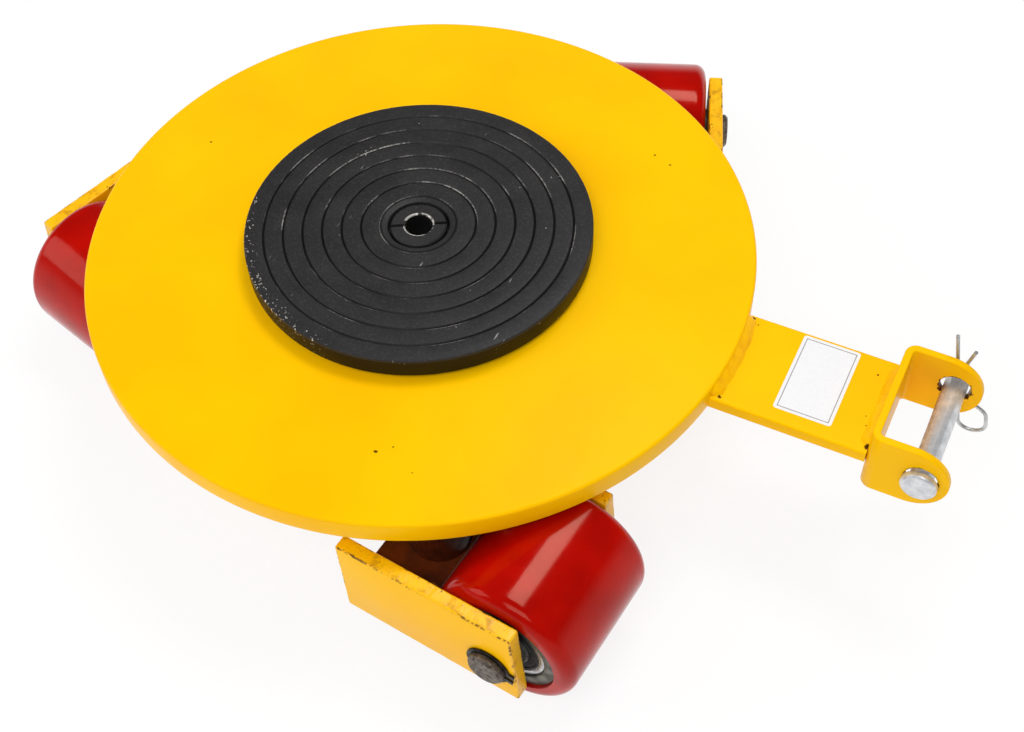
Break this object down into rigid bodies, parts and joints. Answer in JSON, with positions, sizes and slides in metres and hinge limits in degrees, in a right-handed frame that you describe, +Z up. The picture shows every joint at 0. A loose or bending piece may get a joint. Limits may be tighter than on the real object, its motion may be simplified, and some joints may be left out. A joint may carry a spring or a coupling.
{
  "type": "machine skate",
  "caption": "Round steel load skate on swivel roller casters, with a free-turning grooved turntable, a short welded drawbar and a clevis with pin and clip",
  "frame": {"origin": "on the floor under the axis of the turntable, the middle of the footprint of the rollers' kingpins", "axes": "+Z up along the turntable's axis; +X along the drawbar, from the deck to the clevis; +Y to the left of the pull"},
  "size_m": [0.5275, 0.4251, 0.1194],
  "materials": {
    "yellow_paint": "gloss enamel, traffic yellow",
    "blackened_steel": "turned and blackened, dull",
    "bronze": "turned",
    "bright_steel": "turned, worn",
    "bearing_steel": "ground",
    "sleeve_steel": "turned, dull",
    "spring_steel": "blued",
    "zinc_steel": "zinc plated",
    "spring_wire": "zinc plated wire",
    "red_polyurethane": "cast, glossy"
  },
  "bodies": {
    "deck": {"deck_plate": "yellow_paint", "drawbar": "yellow_paint", "clevis_yoke": "yellow_paint", "drawbar_welds": "yellow_paint", "pivot_screw": "blackened_steel", "turntable_thrust_washer": "bronze", "kingpins": "bright_steel", "upper_races": "bearing_steel", "ball_cages": "bronze", "kingpin_washers": "zinc_steel", "kingpin_circlips": "spring_steel"},
    "turntable": {"turntable_pad": "blackened_steel", "turntable_bush": "bronze"},
    "caster_right": {"fork_plates_right": "yellow_paint", "crosspiece_right": "yellow_paint", "swivel_hub_right": "yellow_paint", "fork_welds_right": "yellow_paint", "hub_bushes_right": "bronze", "roller_axle_right": "bright_steel", "axle_circlips_right": "spring_steel", "axle_spacers_right": "bright_steel", "bearing_inner_rings_right": "bearing_steel"},
    "roller_right": {"tyre_right": "red_polyurethane", "roller_sleeve_right": "sleeve_steel", "bearing_outer_rings_right": "bearing_steel"},
    "caster_left": {"fork_plates_left": "yellow_paint", "crosspiece_left": "yellow_paint", "swivel_hub_left": "yellow_paint", "fork_welds_left": "yellow_paint", "hub_bushes_left": "bronze", "roller_axle_left": "bright_steel", "axle_circlips_left": "spring_steel", "axle_spacers_left": "bright_steel", "bearing_inner_rings_left": "bearing_steel"},
    "roller_left": {"tyre_left": "red_polyurethane", "roller_sleeve_left": "sleeve_steel", "bearing_outer_rings_left": "bearing_steel"},
    "caster_rear": {"fork_plates_rear": "yellow_paint", "crosspiece_rear": "yellow_paint", "swivel_hub_rear": "yellow_paint", "fork_welds_rear": "yellow_paint", "hub_bushes_rear": "bronze", "roller_axle_rear": "bright_steel", "axle_circlips_rear": "spring_steel", "axle_spacers_rear": "bright_steel", "bearing_inner_rings_rear": "bearing_steel"},
    "roller_rear": {"tyre_rear": "red_polyurethane", "roller_sleeve_rear": "sleeve_steel", "bearing_outer_rings_rear": "bearing_steel"},
    "clevis_pin": {"clevis_pin": "zinc_steel"},
    "hairpin_clip": {"hairpin_clip": "spring_wire"}
  },
  "joints": [
    {"name": "turntable_spin", "type": "hinge", "parent": "deck", "child": "turntable", "pos_m": [0, 0, 0.105], "axis": [0, 0, 1], "continuous": true},
    {"name": "caster_right_swivel", "type": "hinge", "parent": "deck", "child": "caster_right", "pos_m": [0.075, -0.1299, 0.05], "axis": [0, 0, 1], "continuous": true},
    {"name": "roller_right_spin", "type": "hinge", "parent": "caster_right", "child": "roller_right", "pos_m": [0.13459, -0.1369, 0.04], "axis": [0.1167, 0.9932, 0], "continuous": true},
    {"name": "caster_left_swivel", "type": "hinge", "parent": "deck", "child": "caster_left", "pos_m": [0.075, 0.1299, 0.05], "axis": [0, 0, 1], "continuous": true},
    {"name": "roller_left_spin", "type": "hinge", "parent": "caster_left", "child": "roller_left", "pos_m": [0.0535, 0.18592, 0.04], "axis": [-0.9336, -0.3584, 0], "continuous": true},
    {"name": "caster_rear_swivel", "type": "hinge", "parent": "deck", "child": "caster_rear", "pos_m": [-0.15, 0, 0.05], "axis": [0, 0, 1], "continuous": true},
    {"name": "roller_rear_spin", "type": "hinge", "parent": "caster_rear", "child": "roller_rear", "pos_m": [-0.16634, -0.05773, 0.04], "axis": [0.9622, -0.2723, 0], "continuous": true},
    {"name": "clevis_pin_turn", "type": "hinge", "parent": "deck", "child": "clevis_pin", "pos_m": [0.2865, 0, 0.0869], "axis": [0, 1, 0], "continuous": true},
    {"name": "hairpin_clip_pull", "type": "slide", "parent": "clevis_pin", "child": "hairpin_clip", "axis": [0.1994, 0, -0.9799], "range_m": [0, 0.017], "deforming": ["hairpin_clip"]}
  ]
}
